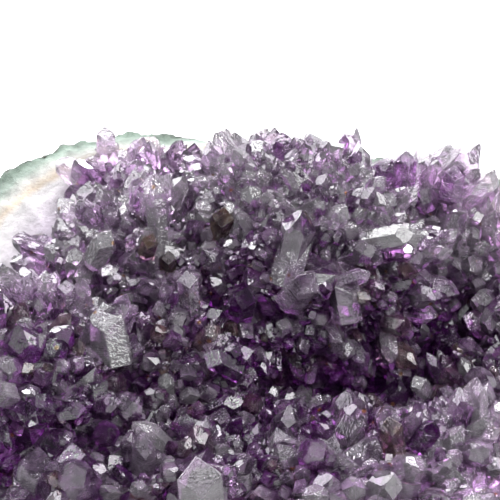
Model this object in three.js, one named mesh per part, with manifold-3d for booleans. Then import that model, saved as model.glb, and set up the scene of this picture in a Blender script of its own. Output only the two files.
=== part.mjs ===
// A cluster of amethyst crystals on a broken piece of geode wall, sawn flat underneath.
// X runs to the right, Y to the back and Z up. The origin is the middle of the sawn base. Millimetres.

import * as THREE from "three";
import { ConvexGeometry } from "three/addons/geometries/ConvexGeometry.js";
import { mergeVertices } from "three/addons/utils/BufferGeometryUtils.js";
import Module from "manifold-3d";

const wasm = await Module();
wasm.setup();

// The piece of geode wall. Its outside is part of one large rounded shape.
const SHELL = { centre: [0, 4, 27], radii: [84, 69, 60], boxiness: 3 };
const HOLLOW = { centre: [6, -10, 40], radii: [70, 58, 90], boxiness: 2.6 };
const PLINTH_HEIGHT = 9; // rock left under the crystals in front
const BREAK = { atY: -40, slope: 0.75, crest: 66, fall: 0.12, roughness: 1.8 }; // the rim climbs to the back
const ROCK_ROUGHNESS = 2.2;

// Lumps that the crystals grew on, as they show through the crust.
const LUMPS = {
  dome: { centre: [12, 15, 42], radii: [39, 32, 32] },
  shoulder: { centre: [-30, 8, 36], radii: [27, 26, 28] },
  leftFront: { centre: [-54, -29, 22], radii: [28, 28, 30] },
  saddle: { centre: [-20, -22, 24], radii: [20, 18, 20] },
  right: { centre: [50, 30, 37], radii: [18, 24, 30] },
  rightFoot: { centre: [62, -2, 12], radii: [20, 30, 16] },
  rightWall: { centre: [68, 28, 32], radii: [13, 30, 24] },
  leftWall: { centre: [-63, 12, 22], radii: [11, 28, 18] },
  recess: { centre: [36, 18, 18], radii: [26, 16, 20] },
  ledgeRight: { centre: [50, -38, 4], radii: [29, 23, 17] },
  ledge: { centre: [16, -42, 5], radii: [28, 23, 17] },
  ledgeLeft: { centre: [-22, -43, 6], radii: [27, 23, 18] },
  back: { centre: [-6, 43, 40], radii: [44, 17, 30] },
  backLeft: { centre: [-38, 38, 46], radii: [18, 16, 19] },
  floor: { centre: [2, -6, 6], radii: [75, 56, 11] },
};
const MOUND = { centre: [0, 34, 0], radii: [62, 30, 46] }; // rock under the lumps
const GAP = 0.3; // between the rock and the crust
const CRUST_FOOT = 6; // height of the lowest crystals
const OVERHANG = 4; // how far crystals may stand out beyond the rock's outline

// The skin of each lump is packed with small tips.
const TIPS = { spacing: 10.2, rise: 3.1, sink: 2.4, sway: 1.2 };

// Quartz: a six-sided prism under three large and three small tip faces.
const TIP_FACE_TILT = THREE.MathUtils.degToRad(51.8); // from the prism's axis to a tip face's normal
const CRYSTAL_WIDTH = { least: 5.6, most: 8.6 }; // across the flats
const CRYSTAL_SPACING = 25;
const LEAN = 0.4; // how far a crystal leans from the lump's normal, as a tangent
const ROOT_DEPTH = 4;

// Crystals that stand out: the place of the foot, the bearing of the tip from X and its rise in degrees,
// the width across the flats and the length of the prism.
const LEADING_CRYSTALS = [
  { at: [-24, 0, 63], bearing: -100, rise: 80, width: 7.4, prism: 6 },
  { at: [11, -13, 59], bearing: -40, rise: 75, width: 7.6, prism: 3.5 },
  { at: [23, -15, 46], bearing: -60, rise: 60, width: 6.6, prism: 3 },
  { at: [14, -17, 48], bearing: -25, rise: 30, width: 8, prism: 4 },
  { at: [-40, 44, 62], bearing: 145, rise: 80, width: 7.2, prism: 5 },
  { at: [-4, 9, 69], bearing: -5, rise: 80, width: 8, prism: 2.5 },
  { at: [-2, -15, 45], bearing: -90, rise: 35, width: 7, prism: 1 },
  { at: [-16, -13, 46], bearing: -70, rise: 60, width: 6.4, prism: 3 },
  { at: [-26, -10, 57], bearing: -65, rise: 65, width: 6, prism: 2 },
  { at: [-8, -30, 35], bearing: -25, rise: 20, width: 7.6, prism: 4 },
  { at: [3, -14, 30], bearing: -70, rise: -30, width: 6.4, prism: 2 },
  { at: [35, -6, 57], bearing: -15, rise: 5, width: 8.6, prism: 4 },
  { at: [-33, -30, 42], bearing: -65, rise: 50, width: 9.6, prism: 4 },
  { at: [24, -39, 22], bearing: -30, rise: 65, width: 7.6, prism: 2.5 },
  { at: [32, -42, 22], bearing: -145, rise: 80, width: 7, prism: 2 },
  { at: [38, -42, 22], bearing: -30, rise: 65, width: 6.6, prism: 2 },
  { at: [9, -33, 20], bearing: -35, rise: 70, width: 7.6, prism: 2 },
  { at: [34, -8, 30], bearing: -60, rise: -60, width: 6.6, prism: 3 },
  { at: [54, 18, 64], bearing: 25, rise: 70, width: 7.8, prism: 3 },
  { at: [40, 19, 68], bearing: 20, rise: 60, width: 7.6, prism: 2.5 },
  { at: [15, 9, 73], bearing: 60, rise: 80, width: 8, prism: 2 },
  { at: [-44, -8, 54], bearing: -145, rise: 60, width: 6.8, prism: 2.5 },
  { at: [-53, 0, 49], bearing: -165, rise: 50, width: 7, prism: 2.5 },
  { at: [-10, -59, 14], bearing: -40, rise: 50, width: 9.4, prism: 4 },
  { at: [-42, -58, 14], bearing: -50, rise: 55, width: 9.4, prism: 4 },
];

// The same number from 0 to 1 each time, for a place in a sequence and a purpose.
function chance(place, purpose) {
  const wave = Math.sin(place * 12.9898 + purpose * 78.233) * 43758.5453;
  return wave - Math.floor(wave);
}

// A slow wave over space, from -1 to 1, for rough rock.
function unevenness(p, size) {
  const [x, y, z] = [p.x / size, p.y / size, p.z / size];
  return (
    (Math.sin(x * 1.7 + 2.1 * Math.sin(z * 1.3)) +
      Math.sin(y * 2.3 + 1.7 * Math.sin(x * 1.9)) +
      Math.sin(z * 2.9 + 1.3 * Math.sin(y * 2.2))) /
    3
  );
}

// A closed three.js geometry as a solid that can be joined and cut.
function solid(geometry) {
  const bare = geometry.clone();
  bare.deleteAttribute("normal");
  bare.deleteAttribute("uv");
  const merged = mergeVertices(bare, 1e-4);
  return new wasm.Manifold(
    new wasm.Mesh({
      numProp: 3,
      vertProperties: new Float32Array(merged.attributes.position.array),
      triVerts: new Uint32Array(merged.index.array),
    }),
  );
}

// A solid back as a three.js geometry with flat faces.
function geometryOf(body) {
  const mesh = body.getMesh();
  const places = new Float32Array(mesh.numVert * 3);
  for (let i = 0; i < mesh.numVert; i++) {
    const start = i * mesh.numProp;
    places.set(mesh.vertProperties.subarray(start, start + 3), i * 3);
  }
  const geometry = new THREE.BufferGeometry();
  geometry.setAttribute("position", new THREE.BufferAttribute(places, 3));
  geometry.setIndex(new THREE.BufferAttribute(new Uint32Array(mesh.triVerts), 1));
  const flat = geometry.toNonIndexed();
  flat.computeVertexNormals();
  return flat;
}

// A point on a rounded shape, in the direction of a unit vector. Boxiness 2 is an egg, and more is squarer.
function pointOn({ centre, radii, boxiness = 2 }, unit, margin = 0) {
  const sum = unit.toArray().reduce((total, v) => total + Math.abs(v) ** boxiness, 0);
  const grown = new THREE.Vector3(...radii).addScalar(margin);
  const onSphere = unit.clone().multiplyScalar(sum ** (-1 / boxiness));
  return onSphere.multiply(grown).add(new THREE.Vector3(...centre));
}

// A rounded shape as a solid, grown by a margin all round. Roughness moves its skin in and out.
function rounded(shape, { margin = 0, facets = 2, roughness = 0, grain = 9 } = {}) {
  const geometry = new THREE.IcosahedronGeometry(1, facets);
  const place = geometry.attributes.position;
  for (let i = 0; i < place.count; i++) {
    const unit = new THREE.Vector3().fromBufferAttribute(place, i).normalize();
    const p = pointOn(shape, unit, margin);
    p.addScaledVector(unit, roughness * unevenness(p, grain));
    place.setXYZ(i, p.x, p.y, p.z);
  }
  return solid(geometry);
}

// Everything between two heights.
function layer(low, high, size = 400) {
  const geometry = new THREE.BoxGeometry(size, size, high - low);
  geometry.translate(0, 0, (low + high) / 2);
  return solid(geometry);
}

// The height of the broken rim over a point.
function breakHeight(x, y) {
  return Math.min((y - BREAK.atY) * BREAK.slope, BREAK.crest - x * BREAK.fall);
}

// What the break took away: everything above the rim's rough surface.
function brokenAway(margin) {
  const [width, depth, height, across] = [200, 200, 200, 16];
  const geometry = new THREE.BoxGeometry(width, depth, height, across, across, 1);
  const place = geometry.attributes.position;
  const p = new THREE.Vector3();
  for (let i = 0; i < place.count; i++) {
    p.fromBufferAttribute(place, i);
    const rough = BREAK.roughness * unevenness(p, 6);
    if (p.z < 0) place.setZ(i, breakHeight(p.x, p.y) + rough + margin);
    else place.setZ(i, height);
  }
  return solid(geometry);
}

// The outside of the whole piece.
function outside(margin = 0) {
  return rounded(SHELL, { margin, facets: 4, roughness: ROCK_ROUGHNESS, grain: 8 });
}

// The rock: a plinth, the wall and a mound under the crust. The margin grows it, for cutting the crust.
function rock(margin = 0) {
  const whole = outside(margin);
  const hollow = rounded(HOLLOW, { margin: -margin, facets: 2, roughness: 1.5 });
  const wall = whole.subtract(hollow).subtract(brokenAway(margin));
  const plinth = whole.intersect(layer(-50, PLINTH_HEIGHT + margin));
  const mound = rounded(MOUND, { margin, facets: 2 }).intersect(whole);
  return wasm.Manifold.union([wall, plinth, mound]).intersect(layer(-margin, 200));
}

// Unit vectors spread evenly over a sphere along a spiral, each a little out of place.
function spiral(count, sequence, disorder) {
  const goldenTurn = Math.PI * (3 - Math.sqrt(5));
  const reach = disorder * Math.sqrt((4 * Math.PI) / count);
  return Array.from({ length: count }, (_, i) => {
    const height = 1 - (2 * (i + 0.5)) / count;
    const ring = Math.sqrt(1 - height * height);
    const stray = (purpose) => (chance(i + 1000 * sequence, purpose) - 0.5) * reach;
    const [x, y] = [ring * Math.cos(i * goldenTurn), ring * Math.sin(i * goldenTurn)];
    return new THREE.Vector3(x + stray(1), y + stray(2), height + stray(3)).normalize();
  });
}

// The area of an egg shape, by Thomsen's formula.
function areaOf({ radii: [a, b, c] }) {
  const p = 1.6075;
  return 4 * Math.PI * (((a * b) ** p + (a * c) ** p + (b * c) ** p) / 3) ** (1 / p);
}

// Unit vectors to points that lie evenly on an egg shape, at least a spacing apart.
function evenly(lump, spacing, sequence) {
  const kept = [];
  for (const unit of spiral(Math.round((4 * areaOf(lump)) / spacing ** 2), sequence, 0.5)) {
    const p = pointOn(lump, unit);
    if (kept.every((other) => other.p.distanceTo(p) > spacing)) kept.push({ unit, p });
  }
  return kept;
}

// One lump with a skin of small tips: points well away from the tips so far are drawn out, and others sink.
function drusyLump(lump, sequence) {
  const radii = new THREE.Vector3(...lump.radii);
  const tips = [];
  const key = (v) => v.toArray().map(Math.fround).join();
  const moved = new Map();
  const points = evenly(lump, TIPS.spacing / 2, sequence);
  points.forEach(({ unit, p }, i) => {
    const normal = unit.clone().divide(radii).normalize();
    const isTip = tips.every((tip) => tip.distanceTo(p) > 0.85 * TIPS.spacing);
    if (isTip) tips.push(p.clone());
    const draw = (purpose) => chance(i + 1000 * sequence, purpose);
    p.addScaledVector(normal, isTip ? TIPS.rise * (0.6 + 0.8 * draw(4)) : -TIPS.sink * (0.5 + draw(4)));
    const sway = new THREE.Vector3(draw(5) - 0.5, draw(6) - 0.5, draw(7) - 0.5);
    if (isTip) p.addScaledVector(sway, 2 * TIPS.sway);
    moved.set(key(unit), p);
  });
  const geometry = new ConvexGeometry(points.map(({ unit }) => unit));
  const place = geometry.attributes.position;
  for (let i = 0; i < place.count; i++) {
    const p = moved.get(key(new THREE.Vector3().fromBufferAttribute(place, i)));
    place.setXYZ(i, p.x, p.y, p.z);
  }
  return solid(geometry);
}

// The corners of a body bounded by planes, each a normal and a distance from the origin.
function cornersBetween(planes) {
  const corners = [];
  const rows = new THREE.Matrix3();
  for (let a = 0; a < planes.length; a++) {
    for (let b = a + 1; b < planes.length; b++) {
      for (let c = b + 1; c < planes.length; c++) {
        const three = [planes[a], planes[b], planes[c]];
        rows.set(...three.flatMap((plane) => plane.normal.toArray()));
        if (Math.abs(rows.determinant()) < 1e-6) continue;
        const corner = new THREE.Vector3(...three.map((plane) => plane.distance));
        corner.applyMatrix3(rows.clone().invert());
        if (planes.every((plane) => plane.normal.dot(corner) < plane.distance + 1e-6)) corners.push(corner);
      }
    }
  }
  return corners;
}

// One quartz crystal along Z. Its foot is at height 0, with the prism above it and the root below.
function crystal({ width, prism, smallFaces, flatness }) {
  const planes = [{ normal: new THREE.Vector3(0, 0, -1), distance: ROOT_DEPTH }];
  for (let side = 0; side < 6; side++) {
    const turn = (side * Math.PI) / 3;
    const wide = side % 3 === 0 ? 1 - flatness : 1;
    const outward = new THREE.Vector3(Math.cos(turn), Math.sin(turn), 0);
    planes.push({ normal: outward, distance: (width / 2) * wide });
    const tip = outward.clone().multiplyScalar(Math.sin(TIP_FACE_TILT)).setZ(Math.cos(TIP_FACE_TILT));
    const further = side % 2 === 0 ? 1 : 1 + smallFaces;
    const reach = (width / 2) * Math.sin(TIP_FACE_TILT) * further + prism * Math.cos(TIP_FACE_TILT);
    planes.push({ normal: tip, distance: reach });
  }
  return solid(new ConvexGeometry(cornersBetween(planes)));
}

// A crystal set on the crust: where its foot is, the way it points and how far it is turned about itself.
function planted(form, at, direction, turn) {
  const upright = new THREE.Quaternion().setFromUnitVectors(new THREE.Vector3(0, 0, 1), direction);
  const spin = new THREE.Quaternion().setFromAxisAngle(new THREE.Vector3(0, 0, 1), turn);
  const pose = new THREE.Matrix4().compose(at, upright.multiply(spin), new THREE.Vector3(1, 1, 1));
  return crystal(form).transform(pose.toArray());
}

// How deep a point is in a rounded shape: under 1 inside, over 1 outside.
function depthIn(p, { centre, radii, boxiness = 2 }, margin = 0) {
  const grown = new THREE.Vector3(...radii).addScalar(margin);
  const share = p.clone().sub(new THREE.Vector3(...centre)).divide(grown);
  return share.toArray().reduce((total, v) => total + Math.abs(v) ** boxiness, 0) ** (1 / boxiness);
}

// Whether a crystal may stand here: inside the outline and clear of the other lumps and crystals.
function isOpen(p, own) {
  if (p.z < PLINTH_HEIGHT || depthIn(p, SHELL) > 1) return false;
  if (LEADING_CRYSTALS.some(({ at }) => p.distanceTo(new THREE.Vector3(...at)) < 9)) return false;
  return Object.entries(LUMPS).every(([name, lump]) => name === own || depthIn(p, lump, -1) > 1);
}

// Larger crystals spread over one lump, each a little out of line.
function crystalsOn(name, lump, sequence) {
  return evenly(lump, CRYSTAL_SPACING, 50 + sequence).flatMap(({ unit, p: at }, i) => {
    if (!isOpen(at, name)) return [];
    const draw = (purpose) => chance(i + 1000 * (50 + sequence), purpose);
    const lean = new THREE.Vector3(draw(4) - 0.5, draw(5) - 0.5, draw(6) - 0.5).multiplyScalar(2 * LEAN);
    const normal = unit.clone().divide(new THREE.Vector3(...lump.radii)).normalize();
    const direction = normal.add(lean).normalize();
    const width = THREE.MathUtils.lerp(CRYSTAL_WIDTH.least, CRYSTAL_WIDTH.most, draw(7) ** 1.5);
    const form = { width, prism: 2.5 * draw(8), smallFaces: 0.3 * draw(9), flatness: 0.2 * draw(10) };
    return [planted(form, at, direction, draw(11) * Math.PI)];
  });
}

// The crystals that stand out, placed one by one.
function leadingCrystals() {
  return LEADING_CRYSTALS.map(({ at, bearing, rise, width, prism }, i) => {
    const form = { width, prism, smallFaces: 0.25 * chance(i, 1), flatness: 0.2 * chance(i, 2) };
    const [around, up] = [THREE.MathUtils.degToRad(bearing), THREE.MathUtils.degToRad(rise)];
    const level = new THREE.Vector3(Math.cos(around), Math.sin(around), 0).multiplyScalar(Math.cos(up));
    return planted(form, new THREE.Vector3(...at), level.setZ(Math.sin(up)), chance(i, 3) * Math.PI);
  });
}

// The crust: grown-together crystals over all the lumps, cut away where the rock is.
function crust() {
  const lumps = Object.values(LUMPS).map((lump, sequence) => drusyLump(lump, sequence));
  const crystals = Object.keys(LUMPS).flatMap((name, sequence) => crystalsOn(name, LUMPS[name], sequence));
  const grown = wasm.Manifold.union([...lumps, ...crystals, ...leadingCrystals()]);
  const cut = grown.subtract(rock(GAP)).intersect(outside(OVERHANG)).intersect(layer(CRUST_FOOT, 200));
  const pieces = cut.simplify(0.5).decompose();
  return pieces.sort((one, other) => other.volume() - one.volume())[0];
}

function mesh(name, body, finish) {
  const made = new THREE.Mesh(geometryOf(body), new THREE.MeshStandardMaterial(finish));
  made.name = name;
  return made;
}

const cluster = new THREE.Group();
cluster.add(mesh("geode_wall", rock(), { color: 0xcfcabd, roughness: 0.85, metalness: 0 }));
cluster.add(mesh("amethyst_crust", crust(), { color: 0x4b3663, roughness: 0.12, metalness: 0 }));

export default cluster;
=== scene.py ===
import math
import random

import bpy
from mathutils import Matrix, Vector
from mathutils.bvhtree import BVHTree
from mathutils.kdtree import KDTree


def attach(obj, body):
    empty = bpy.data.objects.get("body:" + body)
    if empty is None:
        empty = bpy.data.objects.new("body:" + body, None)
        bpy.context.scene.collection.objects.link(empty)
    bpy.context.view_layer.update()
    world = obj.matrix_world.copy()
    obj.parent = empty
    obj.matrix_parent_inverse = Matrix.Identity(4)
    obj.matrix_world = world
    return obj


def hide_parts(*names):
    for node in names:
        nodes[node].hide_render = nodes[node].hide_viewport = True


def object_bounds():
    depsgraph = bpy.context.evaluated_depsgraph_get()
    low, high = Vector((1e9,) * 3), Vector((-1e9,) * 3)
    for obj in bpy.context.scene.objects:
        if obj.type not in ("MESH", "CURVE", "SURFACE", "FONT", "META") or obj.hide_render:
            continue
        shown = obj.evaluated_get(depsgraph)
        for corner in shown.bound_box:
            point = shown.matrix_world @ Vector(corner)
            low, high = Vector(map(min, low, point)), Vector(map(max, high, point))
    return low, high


MM = 0.001
SEED = 11

# The camera: where it looks, from how high and how far, and how much it takes in there.
LOOK_AT = Vector((0, -18, 58)) * MM
CAMERA_RISE = math.radians(16)
CAMERA_DISTANCE = 330 * MM
PICTURE_WIDTH = 120 * MM
PICTURE_PIXELS = 500
SENSOR = 36

# Quartz: a six-sided prism under three large and three small tip faces.
TIP_FACE_TILT = math.radians(51.8)
APOTHEM = math.cos(math.pi / 6)

# Prism length, how much smaller the three small faces are, and how flat the crystal is, for a radius of 1.
HABITS = {
    "stub": (0.3, 0.18, 0.0),
    "sharp_stub": (0.35, 0.5, 0.08),
    "short": (0.8, 0.12, 0.05),
    "short_flat": (0.9, 0.4, 0.22),
    "tall": (1.4, 0.2, 0.1),
    "blade": (1.1, 0.3, 0.35),
}

# The crystals between the leading ones, and the small late ones on and between those.
FIELD = {
    "spacing": 3.6 * MM,
    "radius": (1.7 * MM, 3.8 * MM),
    "lean": 0.8,
    "habits": {"stub": 3, "sharp_stub": 3, "short": 4, "short_flat": 3, "tall": 1.2, "blade": 1.5},
}
LATE = {
    "spacing": 2.6 * MM,
    "radius": (0.6 * MM, 1.4 * MM),
    "lean": 1.3,
    "habits": {"short": 3, "short_flat": 2, "tall": 3, "blade": 1},
}
NEIGHBOURHOOD = 9 * MM

# The smallest crystals grow close together round this place on the crown, and they turn larger and
# wider apart from the first distance to the second.
FINEST_AT = Vector((5, -22, 58)) * MM
FINE_WITHIN, COARSE_BEYOND = 34 * MM, 75 * MM
FINEST, COARSEST = 0.82, 1.25

# Painted shade: the crystals are drawn darkest round these shaded places, and they turn paler from the first
# distance to the second.
PAINTED_SHADE_AT = [Vector((8, -34, 40)) * MM, Vector((-36, -56, 25)) * MM, Vector((36, -6, 22)) * MM]
DARK_WITHIN, PALE_BEYOND = 16 * MM, 38 * MM
PALE_RIM_FROM = 55 * MM  # right of this, behind the dome, the crystals are nearly white
BOX_CLEARANCE = 1.2 * MM  # how far a crystal may stand out of the plain solids' box
ROCK_CLEARANCE = 0.6 * MM  # crystals grow only where the crust is at least this far from the rock
HIDING_DEPTHS = -4 * MM, 14 * MM  # a crystal this far in front of a leading one's foot would hide it
# Painted shade round a leading crystal, from the first distance to the second.
SHADED_WITHIN, UNSHADED_BEYOND = 4 * MM, 10 * MM  # from a leading crystal, in the dark places
EDGE_WEAR = 0.03  # the width of a leading crystal's worn edges, for a radius of 1

# A crystal's chance number picks its finish; these numbers stand in the middle of each.
DEEP, SMOKY, VIOLET, GREY, LILAC, CLOUDY = 0.1, 0.3, 0.45, 0.62, 0.77, 0.95

# Crystals that stand out in the picture: the pixel of the foot, which way the tip points there
# (degrees from rightwards), how far it points towards the viewer, the radius in mm, the prism's length
# and the small faces as in HABITS, the turn about its axis from where a large tip face looks at the
# viewer, and the finish.
LEADING = {
    "clear_point": ((290, 265), 76, 4, 4.5, 1.5, 0.35, -7, 0.99),
    "striated_flat": ((298, 292), 50, 35, 3.8, 0.9, 0.7, 10, LILAC),
    "grey_column": ((345, 304), 100, 10, 3.7, 0.9, 1.2, 26, GREY),
    "leaning_blade": ((345, 281), 20, 12, 2.0, 2.2, 0.3, 20, LILAC),
    "pale_oval": ((189, 300), 94, 20, 2.8, 1.6, 0.5, 8, GREY),
    "brown_face": ((222, 224), 80, 38, 3.2, 0.6, 0.8, 0, SMOKY),
    "dark_face": ((243, 303), 75, 42, 3.5, 0.5, 0.9, 4, DEEP),
    "left_column": ((158, 238), 93, 10, 2.9, 3.2, 0.2, 5, CLOUDY),
    "tan_face": ((149, 246), 70, 38, 2.4, 0.6, 1.0, 0, SMOKY),
    "flecked": ((168, 266), 85, 30, 2.3, 0.9, 0.4, 8, SMOKY),
    "left_shard": ((116, 222), 120, 20, 2.6, 0.8, 1.2, 10, LILAC),
    "left_white": ((100, 252), 60, 20, 3.4, 0.8, 0.3, -2, CLOUDY),
    "left_sparkling": ((76, 266), 100, 20, 3.3, 0.5, 0.2, 10, CLOUDY),
    "white_streak": ((380, 240), 10, 20, 3.2, 1.6, 0.4, -15, CLOUDY),
    "lying_block": ((226, 366), 150, 25, 3.0, 1.1, 0.8, 8, DEEP),
    "near_white": ((110, 340), 100, 6, 5.0, 0.7, 0.5, -4, 0.99),
    "near_grey": ((127, 354), 70, 25, 3.6, 0.6, 0.9, 6, GREY),
    "ledge_block": ((350, 444), 100, 20, 4.0, 0.9, 0.6, 10, GREY),
    "ledge_trapezoid": ((392, 440), 100, 20, 3.1, 0.9, 1.2, 0, SMOKY),
    "ledge_glint": ((424, 436), 60, 30, 3.0, 0.6, 0.4, 15, DEEP),
    "ledge_left_point": ((284, 430), 78, 15, 3.6, 0.7, 0.1, 10, GREY),
    "near_large": ((200, 492), 95, 22, 5.6, 0.5, 0.5, 8, CLOUDY),
    "near_corner": ((35, 480), 80, 25, 4.8, 0.8, 0.4, 12, LILAC),
    "hanging_point": ((388, 342), -85, 25, 2.4, 1.3, 0.3, 0, CLOUDY),
    "skyline_left": ((106, 152), 92, 5, 3.0, 1.3, 0.4, 10, CLOUDY),
    "skyline_middle": ((284, 152), 96, 5, 3.4, 0.5, 0.3, 0, VIOLET),
    "skyline_right": ((404, 172), 86, 10, 3.2, 0.7, 0.3, 15, VIOLET),
    "skyline_end": ((452, 186), 80, 10, 3.2, 0.7, 0.4, 0, VIOLET),
}

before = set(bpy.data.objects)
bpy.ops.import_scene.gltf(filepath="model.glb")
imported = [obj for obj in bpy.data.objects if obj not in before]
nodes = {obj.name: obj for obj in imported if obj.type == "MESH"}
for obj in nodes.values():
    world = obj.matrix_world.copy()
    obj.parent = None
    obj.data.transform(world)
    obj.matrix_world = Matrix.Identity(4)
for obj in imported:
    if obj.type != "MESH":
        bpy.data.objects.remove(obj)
cad_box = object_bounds()

# The picture's axes in the part's frame.
TO_VIEWER = Vector((0, -math.cos(CAMERA_RISE), math.sin(CAMERA_RISE)))
PICTURE_UP = Vector((0, math.sin(CAMERA_RISE), math.cos(CAMERA_RISE)))
PICTURE_RIGHT = Vector((1, 0, 0))
CAMERA_AT = LOOK_AT + TO_VIEWER * CAMERA_DISTANCE


# Modelling

def only(piece):
    """Selects one object and makes it active."""
    bpy.ops.object.select_all(action="DESELECT")
    piece.select_set(True)
    bpy.context.view_layer.objects.active = piece


def merged_copy(node, name):
    """A copy of a CAD node with its loose triangles joined."""
    piece = nodes[node].copy()
    piece.data = piece.data.copy()
    piece.name = name
    piece.parent = None
    for key in list(piece.keys()):
        del piece[key]
    piece.data.materials.clear()
    bpy.context.scene.collection.objects.link(piece)
    only(piece)
    bpy.ops.object.mode_set(mode="EDIT")
    bpy.ops.mesh.select_all(action="SELECT")
    bpy.ops.mesh.remove_doubles(threshold=0.002 * MM)
    bpy.ops.mesh.normals_make_consistent(inside=False)
    bpy.ops.object.mode_set(mode="OBJECT")
    bpy.ops.object.shade_flat()
    return piece


def tree_of(piece):
    mesh = piece.data
    return BVHTree.FromPolygons([v.co for v in mesh.vertices], [f.vertices for f in mesh.polygons])


def apply_modifiers(piece):
    only(piece)
    for modifier in list(piece.modifiers):
        bpy.ops.object.modifier_apply(modifier=modifier.name)


def write_growth(mesh, chance_of, height_of, is_tip):
    """The map "growth": the crystal's chance number across, 1 more on tip faces, and the height in mm up."""
    layer = mesh.uv_layers.get("growth") or mesh.uv_layers.new(name="growth")
    for face in mesh.polygons:
        across = chance_of(face) + (1 if is_tip(face) else 0)
        for corner in face.loop_indices:
            place = mesh.vertices[mesh.loops[corner].vertex_index].co
            layer.data[corner].uv = (across, height_of(place))


def crystal(name, prism, small_faces, flatness, blunting=0):
    """One crystal of radius 1 with its foot at height 0, its prism above and its root below.
    Blunting is the width of its worn edges."""
    bpy.ops.object.select_all(action="DESELECT")
    bpy.ops.mesh.primitive_cylinder_add(vertices=6, radius=1, depth=8, location=(0, 0, 2.8))
    piece = bpy.context.object
    piece.name = name
    bpy.ops.object.transform_apply(location=True, rotation=True, scale=True)
    bpy.ops.object.mode_set(mode="EDIT")
    for side in range(6):
        turn = (side + 0.5) * math.pi / 3
        further = small_faces if side % 2 else 0
        normal = (
            math.cos(turn) * math.sin(TIP_FACE_TILT),
            math.sin(turn) * math.sin(TIP_FACE_TILT),
            math.cos(TIP_FACE_TILT),
        )
        top = prism + APOTHEM * math.tan(TIP_FACE_TILT) * (1 + further)
        bpy.ops.mesh.select_all(action="SELECT")
        bpy.ops.mesh.bisect(plane_co=(0, 0, top), plane_no=normal, use_fill=True, clear_outer=True)
    bpy.ops.mesh.select_all(action="SELECT")
    bpy.ops.transform.resize(value=(1, 1 - flatness, 1))
    if blunting:
        bpy.ops.mesh.bevel(offset=blunting, segments=1, affect="EDGES")
    bpy.ops.mesh.normals_make_consistent(inside=False)
    bpy.ops.object.mode_set(mode="OBJECT")
    for layer in list(piece.data.uv_layers):
        piece.data.uv_layers.remove(layer)
    return piece


def height_of(model):
    return max(v.co.z for v in model.data.vertices)


def planted(model, foot, direction, turn, radius, chance):
    """A copy of a crystal with its foot at a place, pointing a way and turned about its axis."""
    piece = model.copy()
    piece.data = model.data.copy()
    write_growth(
        piece.data,
        lambda face: chance,
        lambda place: place.z * radius / MM,
        lambda face: 0.05 < face.normal.z < 0.95,
    )
    pose = direction.to_track_quat("Z", "Y").to_matrix().to_4x4()
    pose = Matrix.Translation(foot) @ pose @ Matrix.Rotation(turn, 4, "Z") @ Matrix.Scale(radius, 4)
    piece.data.transform(pose)
    return piece


def between(value, low, high):
    """How far a value lies from the first limit to the second, from 0 to 1."""
    return min(1, max(0, (value - low) / (high - low)))


def coarseness(place):
    """How large and how wide apart the crystals are at a place, next to the usual."""
    away = between((place - FINEST_AT).length, FINE_WITHIN, COARSE_BEYOND)
    return FINEST + (COARSEST - FINEST) * away


def spread(piece, spacing, is_open, draw):
    """Places over a piece's surface about a spacing apart, each with the surface's direction around it."""
    mesh = piece.data
    around = KDTree(len(mesh.polygons))
    for face in mesh.polygons:
        around.insert(face.center, face.index)
    around.balance()
    areas = [face.area for face in mesh.polygons]
    cell_size = spacing * COARSEST
    cells = {}
    places = []
    for index in draw.choices(range(len(areas)), weights=areas, k=int(16 * sum(areas) / spacing**2)):
        a, b, c = (mesh.vertices[v].co for v in mesh.polygons[index].vertices[:3])
        across, along = draw.random(), draw.random()
        if across + along > 1:
            across, along = 1 - across, 1 - along
        place = a + (b - a) * across + (c - a) * along
        apart = spacing * coarseness(place)
        i, j, k = (math.floor(v / cell_size) for v in place)
        near = (
            p
            for cell in ((i + u, j + v, k + w) for u in (-1, 0, 1) for v in (-1, 0, 1) for w in (-1, 0, 1))
            for p in cells.get(cell, ())
        )
        if any((p - place).length < apart for p in near) or not is_open(place):
            continue
        cells.setdefault((i, j, k), []).append(place)
        outward = Vector()
        for _, found, _ in around.find_range(place, NEIGHBOURHOOD):
            outward += mesh.polygons[found].normal * areas[found]
        places.append((place, outward.normalized()))
    return places


def drawn_back(place, direction, reach):
    """How far a crystal has to be sunk for its tip to stay in the plain solids' box."""
    tip = place + direction * reach
    over = [0.0]
    for low, high, value, slope in zip(*cad_box, tip, direction):
        if slope > 0.2:
            over.append((value - high - BOX_CLEARANCE) / slope)
        elif slope < -0.2:
            over.append((low - BOX_CLEARANCE - value) / -slope)
    return max(over)


# How far a place lies out of the painted shade, from 0 to 1.
def out_of_painted_shade(place):
    distance = min((place - darkest).length for darkest in PAINTED_SHADE_AT)
    return between(distance, DARK_WITHIN, PALE_BEYOND)


def chance_at(place, draw):
    """A crystal's chance number, which tends to the dark finishes near the places of painted shade."""
    if place.x > PALE_RIM_FROM and place.y > 10 * MM:
        return CLOUDY
    return min(0.999, draw.random() ** (1.35 - 1.15 * out_of_painted_shade(place)))


def seen_at(place):
    """Where a place is in the picture, and how near it is to the viewer, in metres."""
    return Vector((place.dot(PICTURE_RIGHT), place.dot(PICTURE_UP))), place.dot(TO_VIEWER)


def hides(place, size, leading):
    """Whether a crystal there would stand in or right in front of a leading crystal."""
    at, nearness = seen_at(place)
    for foot, tip, radius in leading:
        (low, behind), (high, _) = seen_at(foot), seen_at(tip)
        along = high - low
        share = between((at - low).dot(along), 0, along.length_squared)
        beside = (low + along * share - at).length < 0.8 * radius + 0.6 * size
        if beside and HIDING_DEPTHS[0] < nearness - behind < HIDING_DEPTHS[1]:
            return True
    return False


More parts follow.
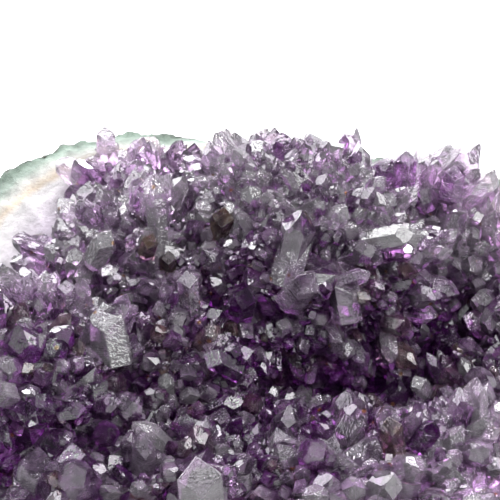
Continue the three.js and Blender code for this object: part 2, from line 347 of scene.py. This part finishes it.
def crystals_over(piece, models, sizes, leading, draw):
    """Crystals all over a piece's open side, clear of the leading ones."""
    rock_surface = tree_of(nodes["geode_wall"])
    made = []
    for place, outward in spread(
        piece, sizes["spacing"], lambda p: rock_surface.find_nearest(p)[3] > ROCK_CLEARANCE, draw,
    ):
        sway = Vector((draw.random() - 0.5, draw.random() - 0.5, draw.random() - 0.5)) * sizes["lean"]
        direction = (outward + sway).normalized()
        least, most = sizes["radius"]
        radius = (least + (most - least) * draw.random() ** 2) * coarseness(place)
        habit = draw.choices(list(sizes["habits"]), weights=sizes["habits"].values())[0]
        sink = drawn_back(place, direction, radius * height_of(models[habit]))
        foot = place - direction * (sink + 0.1 * radius)
        turn, chance = draw.random() * math.pi, chance_at(place, draw)
        away = min(((lead + tip) / 2 - place).length for lead, tip, _ in leading)
        # Painted shade: darker round a leading crystal, in the places of painted shade.
        shade = 1 - between(away, SHADED_WITHIN, UNSHADED_BEYOND)
        chance *= 1 - 0.6 * shade * (1 - out_of_painted_shade(place))
        if not hides(place + direction * radius, radius, leading):
            made.append(planted(models[habit], foot, direction, turn, radius, chance))
    return made


def picture_ray(pixel):
    """The direction from the camera through a pixel of the picture."""
    across = (pixel[0] / PICTURE_PIXELS - 0.5) * PICTURE_WIDTH
    up = (0.5 - pixel[1] / PICTURE_PIXELS) * PICTURE_WIDTH
    return (LOOK_AT + PICTURE_RIGHT * across + PICTURE_UP * up - CAMERA_AT).normalized()


def leading_crystals(crust):
    """The crystals that stand out in the picture, each planted where its foot's pixel meets the crust.
    Also gives the foot, tip and radius of each."""
    surface = tree_of(crust)
    made, reaches = [], []
    for name, (pixel, points, towards, radius, prism, small_faces, turn, chance) in LEADING.items():
        foot = surface.ray_cast(CAMERA_AT, picture_ray(pixel))[0]
        model = crystal(name, prism, small_faces, 0, EDGE_WEAR)
        points, towards = math.radians(points), math.radians(towards)
        in_picture = PICTURE_RIGHT * math.cos(points) + PICTURE_UP * math.sin(points)
        direction = in_picture * math.cos(towards) + TO_VIEWER * math.sin(towards)
        viewer = direction.to_track_quat("Z", "Y").inverted() @ TO_VIEWER
        turn = math.atan2(viewer.y, viewer.x) + math.radians(turn - 30)
        made.append(planted(model, foot, direction, turn, radius * MM, chance))
        reaches.append((foot, foot + direction * height_of(model) * radius * MM, radius * MM))
        bpy.data.objects.remove(model)
    return made, reaches


def grow_together(crust, crystals):
    """Joins crystals to the crust in one closed solid."""
    group = bpy.data.collections.new("crystals")
    bpy.context.scene.collection.children.link(group)
    for piece in crystals:
        group.objects.link(piece)
    union = crust.modifiers.new("grown together", "BOOLEAN")
    union.operation = "UNION"
    union.solver = "MANIFOLD"
    union.operand_type = "COLLECTION"
    union.collection = group
    apply_modifiers(crust)
    for piece in crystals:
        bpy.data.objects.remove(piece)
    bpy.data.collections.remove(group)


def build_crystals():
    draw = random.Random(SEED)
    crust = merged_copy("amethyst_crust", "amethyst_crystals")
    write_growth(
        crust.data,
        lambda face: chance_at(face.center, draw),
        lambda place: 1,
        lambda face: True,
    )
    models = {name: crystal(name, *habit) for name, habit in HABITS.items()}
    leading, reaches = leading_crystals(crust)
    field = crystals_over(crust, models, FIELD, reaches, draw)
    late = crystals_over(crust, models, LATE, reaches, draw)
    grow_together(crust, field + late + leading)
    for model in models.values():
        bpy.data.objects.remove(model)
    crust.data.materials.clear()
    crust.data.materials.append(amethyst())
    only(crust)
    bpy.ops.object.shade_flat()
    return crust


# Finishes

def new_tree(material):
    material.use_nodes = True
    material.node_tree.nodes.clear()
    return material.node_tree


def put(tree, kind, settings=None, **inputs):
    """A node with its properties and inputs set. An input is a value, or the output socket that feeds it."""
    node = tree.nodes.new(kind)
    for key, value in (settings or {}).items():
        setattr(node, key, value)
    for key, value in inputs.items():
        socket = node.inputs[int(key[1:]) if key[0] == "_" else key.replace("_", " ")]
        if isinstance(value, bpy.types.NodeSocket):
            tree.links.new(value, socket)
        else:
            socket.default_value = value
    return node


def maths(tree, operation, *values, clamp=False):
    inputs = {f"_{i}": value for i, value in enumerate(values)}
    return put(tree, "ShaderNodeMath", {"operation": operation, "use_clamp": clamp}, **inputs).outputs[0]


def ranged(tree, value, low, high, to_low=0.0, to_high=1.0):
    """A value between two limits, spread over another range."""
    return put(
        tree, "ShaderNodeMapRange", Value=value,
        From_Min=low, From_Max=high, To_Min=to_low, To_Max=to_high,
    ).outputs["Result"]


def mixed(tree, share, first, second, kind="MIX"):
    settings = {"data_type": "RGBA", "blend_type": kind}
    return put(tree, "ShaderNodeMix", settings, _0=share, _6=first, _7=second).outputs[2]


def coloured(tree, value, stops):
    """A colour ramp: stops are pairs of a place and a colour."""
    node = put(tree, "ShaderNodeValToRGB", Fac=value)
    ramp = node.color_ramp
    for index, (place, colour) in enumerate(stops):
        element = ramp.elements[index] if index < 2 else ramp.elements.new(place)
        element.position = place
        element.color = (*colour, 1)
    return node.outputs["Color"]


def mottle_group():
    """The shared effect "mottle": a cloudy pattern, spread from two limits over two values."""
    group = bpy.data.node_groups.new("mottle", "ShaderNodeTree")
    group.interface.new_socket("Place", in_out="INPUT", socket_type="NodeSocketVector")
    for name, value in (
        ("Scale", 100), ("Detail", 4), ("Roughness", 0.6), ("From", 0), ("To", 1), ("Least", 0), ("Most", 1),
    ):
        socket = group.interface.new_socket(name, in_out="INPUT", socket_type="NodeSocketFloat")
        socket.default_value = value
    group.interface.new_socket("Amount", in_out="OUTPUT", socket_type="NodeSocketFloat")
    given = group.nodes.new("NodeGroupInput").outputs
    clouds = put(
        group, "ShaderNodeTexNoise",
        Vector=given["Place"], Scale=given["Scale"], Detail=given["Detail"], Roughness=given["Roughness"],
    )
    amount = ranged(group, clouds.outputs["Fac"], given["From"], given["To"], given["Least"], given["Most"])
    put(group, "NodeGroupOutput", Amount=amount)
    return group


def mottle(tree, place, scale, **values):
    """The mottle effect placed in a material with its own values."""
    group = bpy.data.node_groups.get("mottle") or mottle_group()
    placed = put(tree, "ShaderNodeGroup", {"node_tree": group}, Place=place, Scale=scale, **values)
    return placed.outputs["Amount"]


def amethyst():
    material = bpy.data.materials.new("amethyst")
    tree = new_tree(material)
    place = put(tree, "ShaderNodeTexCoord").outputs["Object"]
    growth = put(tree, "ShaderNodeUVMap", {"uv_map": "growth"}).outputs["UV"]
    split = put(tree, "ShaderNodeSeparateXYZ", Vector=growth)
    chance = maths(tree, "FRACT", split.outputs["X"])
    is_side = maths(tree, "LESS_THAN", split.outputs["X"], 1.0)
    height = split.outputs["Y"]

    body = coloured(tree, chance, [
        (0.0, (0.08, 0.008, 0.11)),
        (DEEP, (0.16, 0.015, 0.21)),
        (0.24, (0.3, 0.05, 0.37)),
        (SMOKY, (0.45, 0.29, 0.2)),
        (0.36, (0.4, 0.12, 0.46)),
        (VIOLET, (0.47, 0.19, 0.54)),
        (GREY, (0.6, 0.46, 0.62)),
        (LILAC, (0.82, 0.61, 0.87)),
        (CLOUDY, (1.0, 0.93, 1.0)),
        (1.0, (1.0, 0.98, 1.0)),
    ])
    flow = mottle(tree, place, 300, Detail=3)
    ripple = mottle(tree, place, 800, Detail=4, Roughness=0.7)
    ridge = maths(tree, "ABSOLUTE", maths(tree, "SUBTRACT", ripple, 0.5))
    veil = maths(tree, "MULTIPLY", ranged(tree, ridge, 0.035, 0.0), ranged(tree, flow, 0.42, 0.55))
    body = mixed(tree, maths(tree, "MULTIPLY", veil, 0.9), body, (1, 1, 1, 1))
    dark = mottle(tree, place, 350, From=0.4, To=0.56, Most=ranged(tree, chance, 0.7, 0.95, 0.75, 0.35))
    body = mixed(tree, dark, body, (0.04, 0.012, 0.06, 1))
    iron = put(tree, "ShaderNodeTexVoronoi", Vector=place, Scale=420)
    is_iron = maths(tree, "MULTIPLY", ranged(tree, iron.outputs["Distance"], 0.3, 0.18), ranged(
        tree, put(tree, "ShaderNodeSeparateColor", Color=iron.outputs["Color"]).outputs["Red"], 0.955, 0.96,
    ))
    body = mixed(tree, is_iron, body, (0.55, 0.2, 0.03, 1))

    striae = put(
        tree, "ShaderNodeTexNoise", {"noise_dimensions": "1D"},
        W=maths(tree, "ADD", height, maths(tree, "MULTIPLY", chance, 90.0)), Scale=2.4, Detail=3,
    ).outputs["Fac"]
    relief = maths(tree, "MULTIPLY", striae, is_side)
    relief = maths(tree, "ADD", relief, mottle(tree, place, 420, Most=0.25))
    rough_skin = maths(tree, "MAXIMUM", ranged(tree, chance, 0.85, 0.92), ranged(tree, flow, 0.5, 0.6))
    crackle = mottle(tree, place, 1300, Detail=2, Roughness=0.5, From=0.3, To=0.7, Most=1.1)
    relief = maths(tree, "ADD", relief, maths(tree, "MULTIPLY", crackle, rough_skin))
    evenness = maths(tree, "FRACT", maths(tree, "MULTIPLY", chance, 31.0))
    relief = maths(tree, "MULTIPLY", relief, ranged(tree, evenness, 0, 1, 0.04, 1.0))
    normal = put(tree, "ShaderNodeBump", Strength=0.5, Distance=0.25 * MM, Height=relief).outputs["Normal"]

    frosted = mottle(tree, place, 130, Detail=2, From=0.54, To=0.64, Least=0.0, Most=0.08)
    surface = put(
        tree, "ShaderNodeBsdfPrincipled", Base_Color=body, Roughness=frosted, IOR=1.544,
        Transmission_Weight=0.925, Normal=normal,
    )
    volume = put(tree, "ShaderNodeVolumeAbsorption", Color=(0.62, 0.41, 0.65, 1), Density=125)
    put(tree, "ShaderNodeOutputMaterial", Surface=surface.outputs[0], Volume=volume.outputs[0])
    return material


def rock():
    material = bpy.data.materials.new("geode rock")
    tree = new_tree(material)
    place = put(tree, "ShaderNodeTexCoord").outputs["Object"]
    skin_map = put(tree, "ShaderNodeUVMap", {"uv_map": "skin"}).outputs["UV"]
    skin = put(tree, "ShaderNodeSeparateXYZ", Vector=skin_map)
    waver = mottle(tree, place, 60, Least=-2.5, Most=2.5)
    below = maths(tree, "ADD", skin.outputs["X"], waver)
    colour = coloured(tree, ranged(tree, below, 0, 20), [
        (0.0, (0.06, 0.07, 0.058)),
        (0.1, (0.09, 0.125, 0.1)),
        (0.2, (0.18, 0.22, 0.19)),
        (0.3, (0.3, 0.295, 0.28)),
        (0.42, (0.31, 0.255, 0.2)),
        (0.5, (0.31, 0.3, 0.3)),
        (1.0, (0.28, 0.24, 0.29)),
    ])
    weathered = coloured(tree, mottle(tree, place, 90, Detail=6, Roughness=0.7), [
        (0.35, (0.03, 0.032, 0.027)),
        (0.48, (0.05, 0.06, 0.047)),
        (0.56, (0.07, 0.068, 0.056)),
        (0.7, (0.11, 0.1, 0.085)),
    ])
    ragged = mottle(tree, place, 120, Least=-0.08, Most=0.08)
    is_skin = ranged(tree, maths(tree, "ADD", skin.outputs["Y"], ragged), 0.86, 0.93)
    colour = mixed(tree, is_skin, colour, weathered)
    mottled = mottle(tree, place, 180, Detail=8, Roughness=0.7, From=0.35, To=0.7, Least=0.55, Most=1.15)
    colour = mixed(tree, 1.0, colour, mottled, "MULTIPLY")
    pits = maths(tree, "MULTIPLY", mottle(tree, place, 330, Detail=5, From=0.44, To=0.34), is_skin)
    colour = mixed(tree, maths(tree, "MULTIPLY", pits, 0.7), colour, (0.02, 0.02, 0.018, 1))
    grit = mottle(tree, place, 500, Detail=8, Roughness=0.7)
    relief = maths(tree, "SUBTRACT", grit, maths(tree, "MULTIPLY", pits, 0.6))
    normal = put(tree, "ShaderNodeBump", Strength=0.8, Distance=1.2 * MM, Height=relief).outputs["Normal"]
    surface = put(tree, "ShaderNodeBsdfPrincipled", Base_Color=colour, Roughness=0.85, Normal=normal)
    put(tree, "ShaderNodeOutputMaterial", Surface=surface.outputs[0])
    return material


# The rock's rounded outside in the part's frame.
SHELL_CENTRE = Vector((0, 4, 27)) * MM
SHELL_RADII = Vector((84, 69, 60)) * MM
SHELL_BOXINESS = 3

# The rock's relief: how wide and how strong each kind is, in mm, and the level that stays in place.
ROCK_RELIEF = {"lumps": (16, 6, 0.46), "pits": (4, 3.6, 0.5), "grit": (1.3, 1.2, 0.5)}
ROCK_CUTS = 8  # how finely the rock is divided before it is roughened
BREAK_ROUGHNESS = 0.4  # how rough the break is, next to the weathered outside


def depth_below_skin(place):
    """Roughly how far a place lies inside the rock's rounded outside, in mm."""
    out = [abs(v) / r for v, r in zip(place - SHELL_CENTRE, SHELL_RADII)]
    return (1 - sum(v**SHELL_BOXINESS for v in out) ** (1 / SHELL_BOXINESS)) * 70


def facing_out(face):
    """How squarely a face of the rock faces away from its middle, up to 1 on the weathered outside."""
    place = face.center - SHELL_CENTRE
    away = [v * abs(v) ** (SHELL_BOXINESS - 2) / r**SHELL_BOXINESS for v, r in zip(place, SHELL_RADII)]
    return face.normal.dot(Vector(away).normalized())


def write_skin(mesh):
    """The map "skin": depth below the rock's outside in mm across, and how squarely it faces out up."""
    layer = mesh.uv_layers.new(name="skin")
    for face in mesh.polygons:
        outness = facing_out(face)
        for corner in face.loop_indices:
            place = mesh.vertices[mesh.loops[corner].vertex_index].co
            layer.data[corner].uv = (depth_below_skin(place), outness)


def build_wall():
    wall = merged_copy("geode_wall", "geode_wall_rock")
    only(wall)
    bpy.ops.object.mode_set(mode="EDIT")
    bpy.ops.mesh.select_all(action="SELECT")
    bpy.ops.mesh.subdivide(number_cuts=ROCK_CUTS)
    bpy.ops.object.mode_set(mode="OBJECT")
    write_skin(wall.data)
    outness = {}
    for face in wall.data.polygons:
        for index in face.vertices:
            outness[index] = max(outness.get(index, 0), facing_out(face))
    rough = wall.vertex_groups.new(name="rough")
    for vertex in wall.data.vertices:
        weathered = BREAK_ROUGHNESS + (1 - BREAK_ROUGHNESS) * between(outness[vertex.index], 0.8, 0.92)
        rough.add([vertex.index], weathered * between(vertex.co.z, 0, 3 * MM), "REPLACE")
    for name, (size, strength, middle) in ROCK_RELIEF.items():
        texture = bpy.data.textures.new(name, "CLOUDS")
        texture.noise_scale = size * MM
        texture.noise_depth = 2
        displace = wall.modifiers.new(name, "DISPLACE")
        displace.texture = texture
        displace.texture_coords = "LOCAL"
        displace.vertex_group = "rough"
        displace.strength = strength * MM
        displace.mid_level = middle
    apply_modifiers(wall)
    for vertex in wall.data.vertices:
        vertex.co.z = max(0, vertex.co.z)
    wall.data.materials.append(rock())
    bpy.ops.object.shade_smooth_by_angle(angle=math.radians(35))
    return wall


# Studio

def build_floor():
    bpy.ops.object.select_all(action="DESELECT")
    bpy.ops.mesh.primitive_plane_add(size=8, location=(0, 0, 0))
    floor = bpy.context.object
    floor.name = "floor"
    material = bpy.data.materials.new("white paper")
    tree = new_tree(material)
    surface = put(tree, "ShaderNodeBsdfPrincipled", Base_Color=(0.48, 0.48, 0.48, 1), Roughness=0.75)
    put(tree, "ShaderNodeOutputMaterial", Surface=surface.outputs[0])
    floor.data.materials.append(material)


def softbox(name, location, size, power):
    light = bpy.data.lights.new(name, "AREA")
    light.shape = "SQUARE"
    light.size = size
    light.energy = power
    lamp = bpy.data.objects.new(name, light)
    bpy.context.scene.collection.objects.link(lamp)
    lamp.location = location
    lamp.rotation_euler = (LOOK_AT - Vector(location)).to_track_quat("-Z", "Y").to_euler()


KEY_DIRECTION = Vector((-0.3, 0.15, 0.94)).normalized()  # where the studio's white ceiling is brightest


def build_light():
    softbox("overhead softbox", (-0.1, 0.3, 0.8), 0.6, 12)
    softbox("left softbox", (-0.9, 0.1, 0.5), 0.35, 5)
    softbox("right softbox", (0.7, -0.5, 0.5), 0.6, 13)
    softbox("right lamp", (0.35, -0.5, 0.9), 0.08, 1.5)
    softbox("left lamp", (-0.55, -0.35, 0.6), 0.06, 0.7)
    softbox("rear lamp", (0.2, 0.8, 0.7), 0.07, 1.0)
    world = bpy.data.worlds.new("studio")
    bpy.context.scene.world = world
    tree = new_tree(world)
    direction = put(tree, "ShaderNodeTexCoord").outputs["Generated"]
    to_key = put(
        tree, "ShaderNodeVectorMath", {"operation": "DOT_PRODUCT"}, _0=direction, _1=KEY_DIRECTION,
    ).outputs["Value"]
    split = put(tree, "ShaderNodeSeparateXYZ", Vector=direction)
    strips = maths(tree, "SINE", maths(tree, "MULTIPLY", split.outputs["X"], 16.0))
    strips = ranged(tree, strips, -0.15, 0.15, 0.08, 1.5)
    key = maths(tree, "MULTIPLY", ranged(tree, to_key, 0.1, 0.9, 0.2, 5.8), strips)
    back = ranged(tree, split.outputs["Y"], 0.0, 0.6, 0.0, 1.0)
    bright = maths(tree, "ADD", key, back)
    seen = put(tree, "ShaderNodeLightPath").outputs["Is Camera Ray"]
    strength = put(tree, "ShaderNodeMix", {"data_type": "FLOAT"}, _0=seen, _2=bright, _3=1.1).outputs[0]
    lit = put(tree, "ShaderNodeBackground", Color=(0.97, 0.98, 1, 1), Strength=strength)
    put(tree, "ShaderNodeOutputWorld", Surface=lit.outputs[0])


def build_camera():
    lens = bpy.data.cameras.new("camera")
    lens.sensor_width = SENSOR
    lens.lens = SENSOR * CAMERA_DISTANCE / PICTURE_WIDTH
    lens.clip_start = 0.01
    camera = bpy.data.objects.new("camera", lens)
    bpy.context.scene.collection.objects.link(camera)
    camera.location = CAMERA_AT
    camera.rotation_euler = TO_VIEWER.to_track_quat("Z", "Y").to_euler()
    bpy.context.scene.camera = camera


build_camera()
wall = build_wall()
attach(wall, "root")
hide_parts("geode_wall")
crystals = build_crystals()
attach(crystals, "root")
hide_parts("amethyst_crust")
build_floor()
build_light()

bpy.context.scene.view_settings.view_transform = "Standard"
bpy.context.scene.cycles.max_bounces = 24
bpy.context.scene.cycles.transmission_bounces = 24
